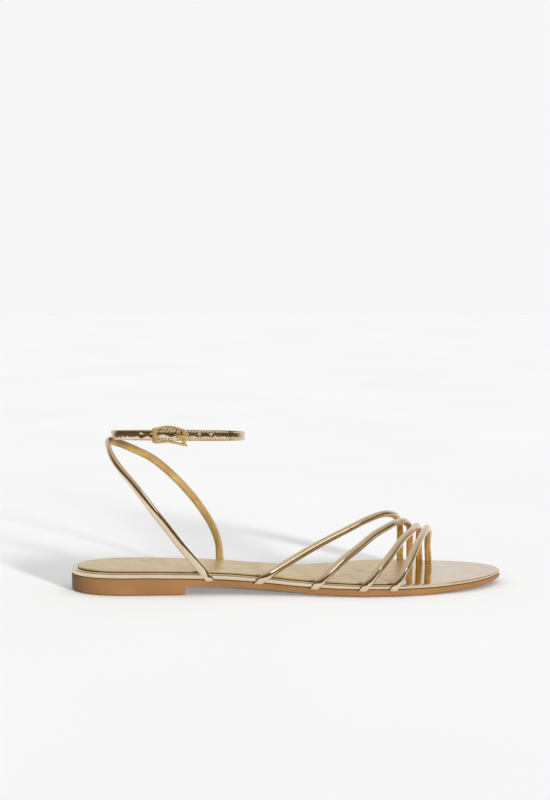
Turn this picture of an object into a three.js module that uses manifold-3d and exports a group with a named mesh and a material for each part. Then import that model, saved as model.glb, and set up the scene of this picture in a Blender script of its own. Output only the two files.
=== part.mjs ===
// A flat strappy sandal with a buckled ankle strap, the right shoe of a pair, in millimetres.
// X runs from heel to toe, Y from the outer side of the foot to the inner side, Z up.
import * as THREE from 'three';
import { mergeVertices } from 'three/addons/utils/BufferGeometryUtils.js';
import Module from 'manifold-3d';

const wasm = await Module();
wasm.setup();

// Sole
const soleLength = 250;
const ballWidth = 78.5;
const waistWidth = 45.3;
const heelWidth = 47.8;
const heelBlockHeight = 9.7;
const heelBlockLength = 64.5;
const forefootThickness = 4.3;
const archHeight = 5.4;
const toeSpring = 3;
const treadEdgeInset = 1.5;
const treadEdgeRise = 1.8;

// Wrapped board that the foot stands on, and the sock glued to it
const boardThickness = 3;
const boardEdgeRound = 0.6;
const sockThickness = 1.2;
const sockInset = 3.4;
const sockLength = 204;
const sockFrontSlant = 20;
const sockFrontBulge = 3;

// Rolled straps
const strapWidth = 4.6;
const strapInnerWidth = 4.1;
const strapThickness = 4.7;
const strapFootThickness = 1.7;
const strapTailThickness = 1;
const strapTailLength = 4;
const strapFootBend = 1.2;
const strapFootProud = 0.7;
const toeVaultHeight = 31.6;
const heelStrapWidth = 4.6;
const heelStrapThickness = 3.4;
const heelStrapSpread = 31;

// Ankle loop: an ellipse from above, higher on the outer side and at the back
const ankleStrapWidth = 5.45;
const ankleStrapThickness = 1.8;
const ankleBackInset = 24;
const ankleLoopLength = 75;
const ankleLoopWidth = 58;
const ankleLoopRise = 75.8;
const ankleSideSlope = 0.121;
const ankleBackSlope = 0.017;
const stitchedLap = 0.3;

// Buckle and the punched end of the ankle strap
const hingeBearing = -100;
const billetWidth = 5.6;
const billetThickness = 1.8;
const billetFront = 37.3;
const billetTail = 34;
const holePitch = 6.6;
const holeDiameter = 1.6;
const holeFirst = 17.5;
const wireDiameter = 1.4;
const hingeSink = 0.4;
const keeperReach = 6.3;
const endBarReach = 8.8;
const keeperBarWidth = 2.9;
const endBarWidth = 2.4;
const frameOpenHeight = 6.7;
const frameFlare = 0.65;
const frameDroop = 0.1;
const prongDiameter = 1.2;
const prongEyeWall = 0.6;
const prongRise = 2.4;
const prongOverhang = 1.8;
const foldWall = 0.8;

// Clearance between pieces that meet, and more of it round the bent strap feet
const fitGap = 0.3;
const footRoom = 0.4;

// Outline of the sole. along: share of its length from the back of the heel.
// outer, inner: half widths to the two sides, as shares of the width that the row follows.
const outlineRows = [
  { along: 0, follows: heelWidth, outer: 0, inner: 0 },
  { along: 0.012, follows: heelWidth, outer: 0.211, inner: 0.228 },
  { along: 0.032, follows: heelWidth, outer: 0.333, inner: 0.345 },
  { along: 0.064, follows: heelWidth, outer: 0.431, inner: 0.441 },
  { along: 0.12, follows: heelWidth, outer: 0.498, inner: 0.5 },
  { along: 0.2, follows: heelWidth, outer: 0.517, inner: 0.483 },
  { along: 0.3, follows: waistWidth, outer: 0.558, inner: 0.455 },
  { along: 0.4, follows: waistWidth, outer: 0.6, inner: 0.4 },
  { along: 0.5, follows: ballWidth, outer: 0.401, inner: 0.242 },
  { along: 0.6, follows: ballWidth, outer: 0.476, inner: 0.349 },
  { along: 0.66, follows: ballWidth, outer: 0.504, inner: 0.439 },
  { along: 0.72, follows: ballWidth, outer: 0.507, inner: 0.492 },
  { along: 0.78, follows: ballWidth, outer: 0.485, inner: 0.501 },
  { along: 0.84, follows: ballWidth, outer: 0.439, inner: 0.474 },
  { along: 0.9, follows: ballWidth, outer: 0.366, inner: 0.41 },
  { along: 0.952, follows: ballWidth, outer: 0.259, inner: 0.304 },
  { along: 0.984, follows: ballWidth, outer: 0.141, inner: 0.185 },
  { along: 1, follows: ballWidth, outer: 0.022, inner: 0.029 },
];

// Side profile of the sole. lift: share of the heel's extra height in the top of the outsole.
// spring, tread: shares of the toe spring in its top and in its underside.
// arch: share of the arch height in front of the heel. board: share of the board's thickness.
const profileRows = [
  { along: 0, lift: 1, spring: 0, tread: 0, arch: 1, board: 1 },
  { along: 0.16, lift: 1, spring: 0, tread: 0, arch: 1, board: 1 },
  { along: 0.24, lift: 0.93, spring: 0, tread: 0, arch: 1, board: 1 },
  { along: 0.34, lift: 0.8, spring: 0, tread: 0, arch: 0.91, board: 0.97 },
  { along: 0.44, lift: 0.47, spring: 0, tread: 0, arch: 0.63, board: 0.91 },
  { along: 0.52, lift: 0.17, spring: 0, tread: 0, arch: 0.35, board: 0.88 },
  { along: 0.6, lift: 0.04, spring: 0, tread: 0, arch: 0.08, board: 0.78 },
  { along: 0.67, lift: 0, spring: 0, tread: 0, arch: 0, board: 0.7 },
  { along: 0.8, lift: 0, spring: -0.06, tread: 0, arch: 0, board: 0.64 },
  { along: 0.9, lift: 0, spring: 0.17, tread: 0.4, arch: 0, board: 0.58 },
  { along: 1, lift: 0, spring: 0.55, tread: 1, arch: 0, board: 0.54 },
];

// Toe straps. outerFoot, innerFoot: where the strap meets the sole, as shares of its length.
// outerSlant, innerSlant: how far it runs towards the toe for each millimetre that it climbs there.
// Each row is a place over the foot. across: share of half the ball width. run: share of the way
// from the outer foot to the inner one. up: share of the vault height above the board.
const toeStraps = [
  {
    outerFoot: 0.418, innerFoot: 0.793, outerSlant: 1.3, innerSlant: -0.05,
    rows: [
      { across: -0.56, run: 0.181, up: 0.245 },
      { across: -0.28, run: 0.396, up: 0.564 },
      { across: -0.025, run: 0.608, up: 0.826 },
      { across: 0.127, run: 0.718, up: 0.944 },
      { across: 0.357, run: 0.833, up: 1.01 },
      { across: 0.51, run: 0.895, up: 0.987 },
      { across: 0.69, run: 0.947, up: 0.905 },
      { across: 0.84, run: 0.981, up: 0.726 },
      { across: 0.94, run: 0.992, up: 0.494 },
    ],
  },
  {
    outerFoot: 0.5446, innerFoot: 0.816, outerSlant: 0.9, innerSlant: -0.05,
    rows: [
      { across: -0.69, run: 0.255, up: 0.374 },
      { across: -0.46, run: 0.41, up: 0.561 },
      { across: -0.18, run: 0.571, up: 0.737 },
      { across: 0.1, run: 0.734, up: 0.85 },
      { across: 0.31, run: 0.815, up: 0.87 },
      { across: 0.51, run: 0.897, up: 0.84 },
      { across: 0.71, run: 0.962, up: 0.721 },
      { across: 0.87, run: 0.988, up: 0.507 },
      { across: 0.965, run: 0.994, up: 0.293 },
    ],
  },
  {
    outerFoot: 0.6515, innerFoot: 0.838, outerSlant: 0.8, innerSlant: 0,
    rows: [
      { across: -0.915, run: 0.214, up: 0.259 },
      { across: -0.79, run: 0.33, up: 0.407 },
      { across: -0.61, run: 0.449, up: 0.547 },
      { across: -0.357, run: 0.576, up: 0.673 },
      { across: 0, run: 0.753, up: 0.772 },
      { across: 0.357, run: 0.868, up: 0.782 },
      { across: 0.713, run: 0.96, up: 0.631 },
      { across: 0.9, run: 0.985, up: 0.396 },
    ],
  },
  {
    outerFoot: 0.7217, innerFoot: 0.859, outerSlant: 0.6, innerSlant: 0,
    rows: [
      { across: -0.915, run: 0.22, up: 0.257 },
      { across: -0.79, run: 0.327, up: 0.406 },
      { across: -0.61, run: 0.44, up: 0.545 },
      { across: -0.357, run: 0.57, up: 0.671 },
      { across: 0, run: 0.738, up: 0.759 },
      { across: 0.357, run: 0.858, up: 0.739 },
      { across: 0.713, run: 0.961, up: 0.567 },
      { across: 0.9, run: 0.985, up: 0.37 },
    ],
  },
];

// Heel strap: one strap from the outer edge of the waist, up round the back of the ankle loop,
// and down to the inner edge. back: share of the way from its foot to the back of the loop.
// side: share of the spread. up: share of the way from the board to the top of the strap.
const heelStrapLegs = {
  outer: {
    foot: 0.3145, slant: -0.78,
    rows: [
      { back: 0.286, side: 0.968, up: 0.229 },
      { back: 0.42, side: 1, up: 0.369 },
      { back: 0.576, side: 1, up: 0.526 },
      { back: 0.734, side: 0.903, up: 0.686 },
      { back: 0.884, side: 0.71, up: 0.822 },
      { back: 0.966, side: 0.452, up: 0.908 },
      { back: 1, side: 0.194, up: 0.974 },
    ],
  },
  inner: {
    foot: 0.3465, slant: -0.08,
    rows: [
      { back: 0.012, side: 0.839, up: 0.128 },
      { back: 0.063, side: 0.935, up: 0.256 },
      { back: 0.16, side: 1, up: 0.398 },
      { back: 0.276, side: 1, up: 0.533 },
      { back: 0.444, side: 0.935, up: 0.693 },
      { back: 0.616, side: 0.774, up: 0.826 },
      { back: 0.776, side: 0.548, up: 0.909 },
      { back: 0.93, side: 0.258, up: 0.979 },
    ],
  },
};

// A smooth curve through a column of a table that never overshoots its values.
function columnCurve(places, values) {
  const last = places.length - 1;
  const slopes = places.slice(1).map((x, i) => (values[i + 1] - values[i]) / (x - places[i]));
  const tangents = places.map((x, i) => {
    if (i === 0) return slopes[0];
    if (i === last) return slopes[last - 1];
    const product = slopes[i - 1] * slopes[i];
    return product <= 0 ? 0 : (2 * product) / (slopes[i - 1] + slopes[i]);
  });
  return (place) => {
    const x = THREE.MathUtils.clamp(place, places[0], places[last]);
    let i = 0;
    while (i < last - 1 && x > places[i + 1]) i += 1;
    const span = places[i + 1] - places[i];
    const t = (x - places[i]) / span;
    const s = 1 - t;
    return values[i] * (1 + 2 * t) * s * s + values[i + 1] * t * t * (3 - 2 * t)
      + span * t * s * (tangents[i] * s - tangents[i + 1] * t);
  };
}

// The outline is smooth in the angle of a circle over the sole's length, so both ends are round.
const endAngle = (along) => Math.acos(1 - 2 * THREE.MathUtils.clamp(along, 0, 1));
const outlineAngles = outlineRows.map((row) => endAngle(row.along));
const outerCurve = columnCurve(outlineAngles, outlineRows.map((row) => row.outer * row.follows));
const innerCurve = columnCurve(outlineAngles, outlineRows.map((row) => row.inner * row.follows));
const profilePlaces = profileRows.map((row) => row.along);
const profile = (column) => columnCurve(profilePlaces, profileRows.map((row) => row[column]));
const liftAt = profile('lift');
const springAt = profile('spring');
const treadAt = profile('tread');
const archAt = profile('arch');
const boardAt = profile('board');

const shareOf = (x) => (x + soleLength / 2) / soleLength;
const placeOf = (along) => (along - 0.5) * soleLength;
const halfWidth = (side, x) => (side < 0 ? outerCurve : innerCurve)(endAngle(shareOf(x)));
const treadHeight = (x) => toeSpring * treadAt(shareOf(x));
const outsoleTop = (x) => forefootThickness + toeSpring * springAt(shareOf(x))
  + (heelBlockHeight - forefootThickness) * liftAt(shareOf(x));
const boardUnderside = (x) => outsoleTop(x) + fitGap;
const boardTop = (x) => boardUnderside(x) + boardThickness * boardAt(shareOf(x));

// A closed solid through rings of points. Rings run anticlockwise seen against the way they follow.
function solidThroughRings(rings, capTriangles) {
  const count = rings[0].length;
  const corners = rings.flat().flatMap((p) => [p.x, p.y, p.z]);
  const faces = [];
  for (let r = 0; r < rings.length - 1; r += 1) {
    for (let i = 0; i < count; i += 1) {
      const a = r * count + i;
      const b = r * count + ((i + 1) % count);
      faces.push(a, b, b + count, a, b + count, a + count);
    }
  }
  const top = (rings.length - 1) * count;
  capTriangles.forEach(([a, b, c]) => {
    faces.push(a, c, b, top + a, top + b, top + c);
  });
  const geometry = new THREE.BufferGeometry();
  geometry.setAttribute('position', new THREE.Float32BufferAttribute(corners, 3));
  geometry.setIndex(faces);
  return geometry;
}

// Solids that are joined or cut
function toSolid(geometry) {
  const bare = geometry.clone();
  bare.deleteAttribute('normal');
  bare.deleteAttribute('uv');
  const merged = mergeVertices(bare, 1e-5);
  return new wasm.Manifold(new wasm.Mesh({
    numProp: 3,
    vertProperties: new Float32Array(merged.attributes.position.array),
    triVerts: new Uint32Array(merged.index.array),
  }));
}

function toGeometry(solid) {
  const mesh = solid.getMesh();
  const geometry = new THREE.BufferGeometry();
  geometry.setAttribute('position', new THREE.Float32BufferAttribute(mesh.vertProperties, 3));
  geometry.setIndex(new THREE.Uint32BufferAttribute(mesh.triVerts, 1));
  return geometry;
}

const join = (geometries) => geometries.map(toSolid).reduce((all, next) => all.add(next));
const cutBy = (solid, cutters) => cutters.reduce((left, cutter) => left.subtract(cutter), solid);

// Sole solids are stacked copies of the outline, each drawn in by its own inset.
const outlineSteps = 44;
const outlineCap = [[0, 1, 2 * outlineSteps]];
for (let i = 1; i < outlineSteps; i += 1) {
  outlineCap.push([i, i + 1, 2 * outlineSteps - i], [i, 2 * outlineSteps - i, 2 * outlineSteps + 1 - i]);
}

function soleOutline() {
  const points = [new THREE.Vector2(placeOf(0), 0)];
  const place = (i) => placeOf((1 - Math.cos((Math.PI * i) / outlineSteps)) / 2);
  for (let i = 1; i <= outlineSteps; i += 1) {
    points.push(new THREE.Vector2(place(i), -halfWidth(-1, place(i))));
  }
  for (let i = outlineSteps; i >= 1; i -= 1) {
    points.push(new THREE.Vector2(place(i), halfWidth(1, place(i))));
  }
  return points;
}

function drawnIn(outline, inset) {
  return outline.map((point, i) => {
    const before = outline[(i + outline.length - 1) % outline.length];
    const after = outline[(i + 1) % outline.length];
    const along = after.clone().sub(before).normalize();
    return new THREE.Vector2(point.x - along.y * inset, point.y + along.x * inset);
  });
}

function soleSolid(outline, layers) {
  const rings = layers.map(({ inset, height }) => drawnIn(outline, inset)
    .map((point) => new THREE.Vector3(point.x, point.y, height(point.x))));
  return solidThroughRings(rings, outlineCap);
}

// The hollow under the waist, from the heel's breast to where the tread meets the floor
function archHollow() {
  const breast = placeOf(heelBlockLength / soleLength);
  const frontShare = profileRows.find((row) => row.arch === 0).along;
  const steps = 14;
  const shape = new THREE.Shape();
  shape.moveTo(breast, -heelBlockHeight);
  for (let i = 0; i <= steps; i += 1) {
    const x = THREE.MathUtils.lerp(breast, placeOf(frontShare), i / steps);
    shape.lineTo(x, archHeight * archAt(shareOf(x)));
  }
  shape.lineTo(placeOf(frontShare), -heelBlockHeight);
  const hollow = new THREE.ExtrudeGeometry(shape, { depth: 2 * ballWidth, bevelEnabled: false });
  return hollow.rotateX(Math.PI / 2).translate(0, ballWidth, 0);
}

// A strap is a section carried along its rows. out: the way its show side faces.
const rolledSides = 10;
const rolledSection = Array.from({ length: rolledSides }, (unused, i) => {
  const turn = (Math.PI * 2 * i) / rolledSides;
  const flattening = 0.7;
  const high = Math.sin(turn);
  return [Math.cos(turn), high > 0 ? high : high * flattening];
});
const wireSides = 8;
const wireSection = Array.from({ length: wireSides }, (unused, i) => {
  const turn = (Math.PI * (2 * i + 1)) / wireSides;
  return [Math.cos(turn), Math.sin(turn)];
});
const flatSection = [
  [1, -0.4], [1, 0.4], [0.82, 1], [0, 1], [-0.82, 1],
  [-1, 0.4], [-1, -0.4], [-0.82, -1], [0, -1], [0.82, -1],
];

function strapRings(rows, section, stepsPerRow, growth) {
  const line = new THREE.CatmullRomCurve3(rows.map((row) => row.at), false, 'centripetal');
  const spans = rows.length - 1;
  const steps = spans * stepsPerRow;
  const rings = [];
  for (let i = 0; i <= steps; i += 1) {
    const span = Math.min(Math.floor(i / stepsPerRow), spans - 1);
    const part = i / stepsPerRow - span;
    const from = rows[span];
    const to = rows[span + 1];
    const centre = line.getPoint(i / steps);
    const along = line.getTangent(i / steps);
    if (i === 0) centre.addScaledVector(along, -growth);
    if (i === steps) centre.addScaledVector(along, growth);
    const out = from.out.clone().lerp(to.out, part);
    out.addScaledVector(along, -out.dot(along)).normalize();
    const across = new THREE.Vector3().crossVectors(out, along);
    const halfAcross = THREE.MathUtils.lerp(from.width, to.width, part) / 2 + growth;
    const halfOut = THREE.MathUtils.lerp(from.thickness, to.thickness, part) / 2 + growth;
    rings.push(section.map(([u, v]) => centre.clone()
      .addScaledVector(across, u * halfAcross).addScaledVector(out, v * halfOut)));
  }
  return rings;
}

function strapSolid(rows, section, stepsPerRow, growth = 0) {
  const cap = section.slice(2).map((unused, i) => [0, i + 1, i + 2]);
  return solidThroughRings(strapRings(rows, section, stepsPerRow, growth), cap);
}

// The room that a strap's two feet need in the sole, between numbered rows of the strap: a block
// round the tail and its bend, one up the side, and two where the strap leaves the board
const footRoomSpans = [[0, 3], [2, 4], [4, 4.5], [4.5, 5]];
const strapStepsPerRow = 2;

function footRoomSolids(rows) {
  const rings = strapRings(rows, rolledSection, strapStepsPerRow, footRoom);
  const blocks = [rings, rings.slice().reverse()].flatMap((end) => footRoomSpans.map(([first, last]) => {
    const corners = end.slice(first * strapStepsPerRow, last * strapStepsPerRow + 1).flat();
    return wasm.Manifold.hull(corners.map((point) => point.toArray()));
  }));
  return blocks.reduce((all, next) => all.add(next));
}

// The foot of a strap comes down the edge of the board and turns in between board and outsole.
function strapFoot(side, x, slant, width) {
  const floorRow = (run, proud, z, thickness, out) => {
    const place = x + run;
    const slope = (halfWidth(side, place + 1) - halfWidth(side, place - 1)) / 2;
    const outward = new THREE.Vector3(-slope, side, 0).normalize();
    const at = new THREE.Vector3(place, side * halfWidth(side, place), z);
    at.addScaledVector(outward, proud);
    return { at, out: out ?? outward, width, thickness };
  };
  const down = new THREE.Vector3(0, 0, -1);
  const tailHeight = outsoleTop(x) - strapTailThickness / 2;
  const bendIn = strapFootProud - strapFootBend;
  const half = Math.SQRT1_2 * strapFootBend;
  const lipHeight = boardTop(x) + strapFootThickness / 2;
  const climb = lipHeight - tailHeight - strapFootBend;
  const cornerOut = new THREE.Vector3(0, side, -1).normalize();
  return [
    floorRow(-slant * strapTailLength, bendIn - strapTailLength, tailHeight, strapTailThickness, down),
    floorRow(0, bendIn, tailHeight, strapTailThickness, down),
    floorRow(slant * half, bendIn + half, tailHeight + strapFootBend - half,
      strapFootThickness, cornerOut),
    floorRow(slant * strapFootBend, strapFootProud, tailHeight + strapFootBend, strapFootThickness),
    floorRow(slant * (strapFootBend + climb), strapFootProud, lipHeight, strapFootThickness),
  ];
}

function toeStrapRows({ outerFoot, innerFoot, outerSlant, innerSlant, rows }) {
  const start = placeOf(outerFoot);
  const end = placeOf(innerFoot);
  const middle = rows.map(({ across, run, up }) => {
    const x = THREE.MathUtils.lerp(start, end, run);
    const rise = up * toeVaultHeight;
    const at = new THREE.Vector3(x, (across * ballWidth) / 2, boardTop(x) + rise);
    const out = new THREE.Vector3(0, across * ballWidth * 0.5, rise).normalize();
    const width = THREE.MathUtils.lerp(strapWidth, strapInnerWidth, run);
    return { at, out, width, thickness: strapThickness };
  });
  const outer = strapFoot(-1, start, outerSlant, strapWidth);
  const inner = strapFoot(1, end, innerSlant, strapInnerWidth);
  return [...outer, ...middle, ...inner.reverse()];
}

// The ankle loop is measured along its centre line from the buckle's hinge, towards the toe.
const ankleMiddle = placeOf(ankleBackInset / soleLength) + ankleLoopLength / 2;
const ankleLoopHeight = boardTop(ankleMiddle) + ankleLoopRise;
const hingeAngle = THREE.MathUtils.degToRad(hingeBearing);
const ankleLine = new THREE.EllipseCurve(
  ankleMiddle, 0, ankleLoopLength / 2, ankleLoopWidth / 2, hingeAngle, hingeAngle + 2 * Math.PI,
);
const ankleLength = ankleLine.getLength();

function onAnkle(along, out, up) {
  const turn = THREE.MathUtils.euclideanModulo(along / ankleLength, 1);
  const place = ankleLine.getPointAt(turn);
  const forward = ankleLine.getTangentAt(turn);
  const outward = new THREE.Vector3(forward.y, -forward.x, 0);
  const height = ankleLoopHeight - ankleSideSlope * place.y - ankleBackSlope * (place.x - ankleMiddle);
  const at = new THREE.Vector3(place.x, place.y, height + up);
  at.addScaledVector(outward, out);
  return { at, out: outward };
}

// Lifts of the punched end: none at the buckle's end bar, over the hinge, and on the strap below
const hingeLift = foldWall + wireDiameter / 2 + fitGap - hingeSink + fitGap + billetThickness / 2;
const lapLift = (ankleStrapThickness + billetThickness) / 2 + fitGap;

function billetLift(along) {
  if (along > 0) return hingeLift * (1 - THREE.MathUtils.smoothstep(along, 0, endBarReach));
  return THREE.MathUtils.lerp(hingeLift, lapLift, THREE.MathUtils.smoothstep(-along, 0, keeperReach));
}

function ankleStrapRows() {
  const reach = ankleLength - billetFront - fitGap;
  const steps = 34;
  return Array.from({ length: steps + 1 }, (unused, i) => ({
    ...onAnkle((-reach * i) / steps, 0, 0), width: ankleStrapWidth, thickness: ankleStrapThickness,
  }));
}

function billetRows() {
  const steps = 40;
  const rows = Array.from({ length: steps + 1 }, (unused, i) => {
    const along = billetFront - ((billetFront + billetTail) * i) / steps;
    return { ...onAnkle(along, billetLift(along), 0), width: billetWidth, thickness: billetThickness };
  });
  rows[steps].width = billetWidth * 0.5;
  return rows;
}

function heelStrapRows() {
  const topHeight = onAnkle(-ankleLength / 4, 0, 0).at.z - ankleStrapWidth / 2;
  const topPlace = ankleMiddle - ankleLoopLength / 2 - ankleStrapThickness / 2
    - heelStrapThickness / 2 + stitchedLap;
  const size = { width: heelStrapWidth, thickness: heelStrapThickness };
  const leg = (side, { foot, slant, rows }) => {
    const start = placeOf(foot);
    const bottom = boardTop(start);
    const middle = rows.map((row) => {
      const x = THREE.MathUtils.lerp(start, topPlace, row.back);
      const y = side * row.side * heelStrapSpread;
      const z = THREE.MathUtils.lerp(bottom, topHeight, row.up);
      return { at: new THREE.Vector3(x, y, z), out: new THREE.Vector3(x - ankleMiddle, y * 1.5, 0), ...size };
    });
    return [...strapFoot(side, start, slant, heelStrapWidth), ...middle];
  };
  const top = { at: new THREE.Vector3(topPlace, 0, topHeight), out: new THREE.Vector3(-1, 0, 0), ...size };
  return [...leg(-1, heelStrapLegs.outer), top, ...leg(1, heelStrapLegs.inner).reverse()];
}

// Buckle pieces are placed along the ankle loop from the hinge, with the frame drooping forward.
const buckleSpot = (along, out, up) => onAnkle(along, out, up - along * frameDroop);
const endBarOut = billetThickness / 2 + fitGap + wireDiameter / 2;
const keeperOut = lapLift + billetThickness / 2 + fitGap + wireDiameter / 2;
const armHeight = (along) => (frameOpenHeight + wireDiameter) / 2
  + frameFlare * THREE.MathUtils.smoothstep(along, -keeperReach, endBarReach);
const wireRow = (along, out, up, width = wireDiameter) => ({
  ...buckleSpot(along, out, up), width, thickness: wireDiameter,
});

function buckleArm(way) {
  const places = [
    { along: -keeperReach, out: keeperOut },
    { along: -keeperReach / 2, out: (keeperOut - hingeSink) / 2 },
    { along: 0, out: -hingeSink },
    { along: endBarReach / 2, out: (endBarOut - hingeSink) / 2 - hingeSink / 2 },
    { along: endBarReach, out: endBarOut },
  ];
  const rows = places.map(({ along, out }) => wireRow(along, out, way * armHeight(along)));
  return strapSolid(rows, wireSection, 3);
}

function buckleBar(along, out, width, section, growth = 0) {
  const rows = [-1, 1].map((way) => wireRow(along, out, way * armHeight(along), width));
  return strapSolid(rows, section, 1, growth);
}

function buckleFrame() {
  return join([
    buckleArm(1),
    buckleArm(-1),
    buckleBar(-keeperReach, keeperOut, keeperBarWidth, flatSection),
    buckleBar(0, -hingeSink, wireDiameter, wireSection),
    buckleBar(endBarReach, endBarOut, endBarWidth, wireSection),
  ]);
}

// A round eye about the hinge bar
const eyeSides = 20;

function hingeEye(radius, height) {
  const centre = buckleSpot(0, -hingeSink, 0).at;
  const eye = new THREE.CylinderGeometry(radius, radius, height, eyeSides);
  return eye.rotateX(Math.PI / 2).translate(centre.x, centre.y, centre.z);
}

const prongEyeRadius = wireDiameter / 2 + fitGap + prongEyeWall;

function prongBody(growth) {
  const tipOut = endBarOut + wireDiameter / 2 + fitGap + prongDiameter / 2;
  const rise = tipOut + hingeSink;
  const places = [
    { along: prongEyeRadius / 2, out: -hingeSink },
    { along: prongRise, out: -hingeSink },
    { along: (prongRise * 2 + endBarReach) / 3, out: rise / 2 - hingeSink },
    { along: (prongRise + endBarReach) / 2, out: tipOut },
    { along: endBarReach, out: tipOut },
    { along: endBarReach + prongOverhang, out: tipOut - fitGap },
  ];
  const rows = places.map(({ along, out }) => ({
    ...buckleSpot(along, out, 0), width: prongDiameter, thickness: prongDiameter,
  }));
  const tang = strapSolid(rows, wireSection, 2, growth);
  return join([tang, hingeEye(prongEyeRadius + growth, prongDiameter + 2 * growth)]);
}

const hingeBore = () => toSolid(buckleBar(0, -hingeSink, wireDiameter, wireSection, fitGap));

// The holes run in one row; the prong has its own, so the ones beside it are left out.
function punchedHoles() {
  const count = Math.floor((holeFirst + billetTail) / holePitch);
  const places = Array.from({ length: count }, (unused, i) => holeFirst + holePitch * (1 - i));
  const prongEnd = endBarReach + prongOverhang;
  return places.filter((along) => along > prongEnd || along < -prongRise).map((along) => {
    const rows = [-billetThickness, billetThickness].map((out) => {
      const { at, out: outward } = onAnkle(along, billetLift(along) + out, 0);
      const forward = new THREE.Vector3(-outward.y, outward.x, 0);
      return { at, out: forward, width: holeDiameter, thickness: holeDiameter };
    });
    return toSolid(strapSolid(rows, wireSection, 1));
  });
}

// Pieces
const outline = soleOutline();
const toeStrapSets = toeStraps.map(toeStrapRows);
const heelRows = heelStrapRows();
const footCutters = [
  ...toeStrapSets.map(footRoomSolids),
  footRoomSolids(heelRows),
];

const outsole = cutBy(toSolid(soleSolid(outline, [
  { inset: treadEdgeInset, height: treadHeight },
  { inset: treadEdgeInset * 0.3, height: (x) => treadHeight(x) + treadEdgeRise * 0.4 },
  { inset: 0, height: (x) => treadHeight(x) + treadEdgeRise },
  { inset: 0, height: outsoleTop },
])), [toSolid(archHollow()), ...footCutters]);

const footbedBoard = cutBy(toSolid(soleSolid(outline, [
  { inset: boardEdgeRound, height: boardUnderside },
  { inset: 0, height: (x) => boardUnderside(x) + boardEdgeRound },
  { inset: 0, height: (x) => boardTop(x) - boardEdgeRound },
  { inset: boardEdgeRound, height: boardTop },
])), footCutters);

function insoleSock() {
  const sheet = toSolid(soleSolid(outline, [
    { inset: sockInset, height: (x) => boardTop(x) + fitGap },
    { inset: sockInset, height: (x) => boardTop(x) + sockThickness * 0.6 },
    { inset: sockInset + sockThickness * 0.4, height: (x) => boardTop(x) + sockThickness },
  ]));
  const front = placeOf(sockLength / soleLength);
  const back = placeOf(0);
  const side = ballWidth / 2;
  const middle = front - sockFrontSlant / 2 + sockFrontBulge * 2;
  const cut = new THREE.Shape();
  cut.moveTo(back, -side);
  cut.lineTo(front - sockFrontSlant, -side);
  cut.quadraticCurveTo(middle, 0, front, side);
  cut.lineTo(back, side);
  const depth = boardTop(back) + 2 * sockThickness;
  const keep = new THREE.ExtrudeGeometry(cut, { depth, bevelEnabled: false, curveSegments: 16 });
  return sheet.intersect(toSolid(keep));
}

const prongCutter = prongBody(fitGap);
const foldRadius = wireDiameter / 2 + fitGap + foldWall;
const heelAndAnkleStrap = cutBy(join([
  strapSolid(heelRows, rolledSection, strapStepsPerRow),
  strapSolid(ankleStrapRows(), flatSection, 1),
  hingeEye(foldRadius, ankleStrapWidth - boardEdgeRound),
]), [hingeBore(), prongCutter]);

const billet = cutBy(toSolid(strapSolid(billetRows(), flatSection, 1)), [prongCutter, ...punchedHoles()]);

// Finishes
const mirrorGold = () => new THREE.MeshStandardMaterial({ color: '#d2c3a3', roughness: 0.18, metalness: 1 });
const finishes = {
  tanRubber: new THREE.MeshStandardMaterial({ color: '#a17249', roughness: 0.6, metalness: 0 }),
  boardGold: new THREE.MeshStandardMaterial({ color: '#d8c8ac', roughness: 0.2, metalness: 1 }),
  sockGold: new THREE.MeshStandardMaterial({ color: '#d3c09a', roughness: 0.35, metalness: 1 }),
  brass: new THREE.MeshStandardMaterial({ color: '#c9a25a', roughness: 0.22, metalness: 1 }),
};

const sandal = new THREE.Group();
function addPiece(name, geometry, material) {
  const mesh = new THREE.Mesh(geometry, material);
  mesh.name = name;
  sandal.add(mesh);
}

addPiece('outsole', toGeometry(outsole), finishes.tanRubber);
addPiece('footbed_board', toGeometry(footbedBoard), finishes.boardGold);
addPiece('insole_sock', toGeometry(insoleSock()), finishes.sockGold);
toeStrapSets.forEach((rows, i) => {
  addPiece(`toe_strap_${i + 1}`, strapSolid(rows, rolledSection, strapStepsPerRow), mirrorGold());
});
addPiece('heel_and_ankle_strap', toGeometry(heelAndAnkleStrap), mirrorGold());
addPiece('billet', toGeometry(billet), mirrorGold());
addPiece('buckle_frame', toGeometry(buckleFrame()), finishes.brass);
addPiece('buckle_prong', toGeometry(prongBody(0).subtract(hingeBore())), finishes.brass);

// The origin is the middle of the whole sandal's footprint, on the floor.
const bounds = new THREE.Box3().setFromObject(sandal);
const middle = bounds.getCenter(new THREE.Vector3());
sandal.position.set(-middle.x, -middle.y, -bounds.min.z);

export default sandal;
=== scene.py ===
import math

import bmesh
import bpy
from mathutils import Matrix, Vector, noise


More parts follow.
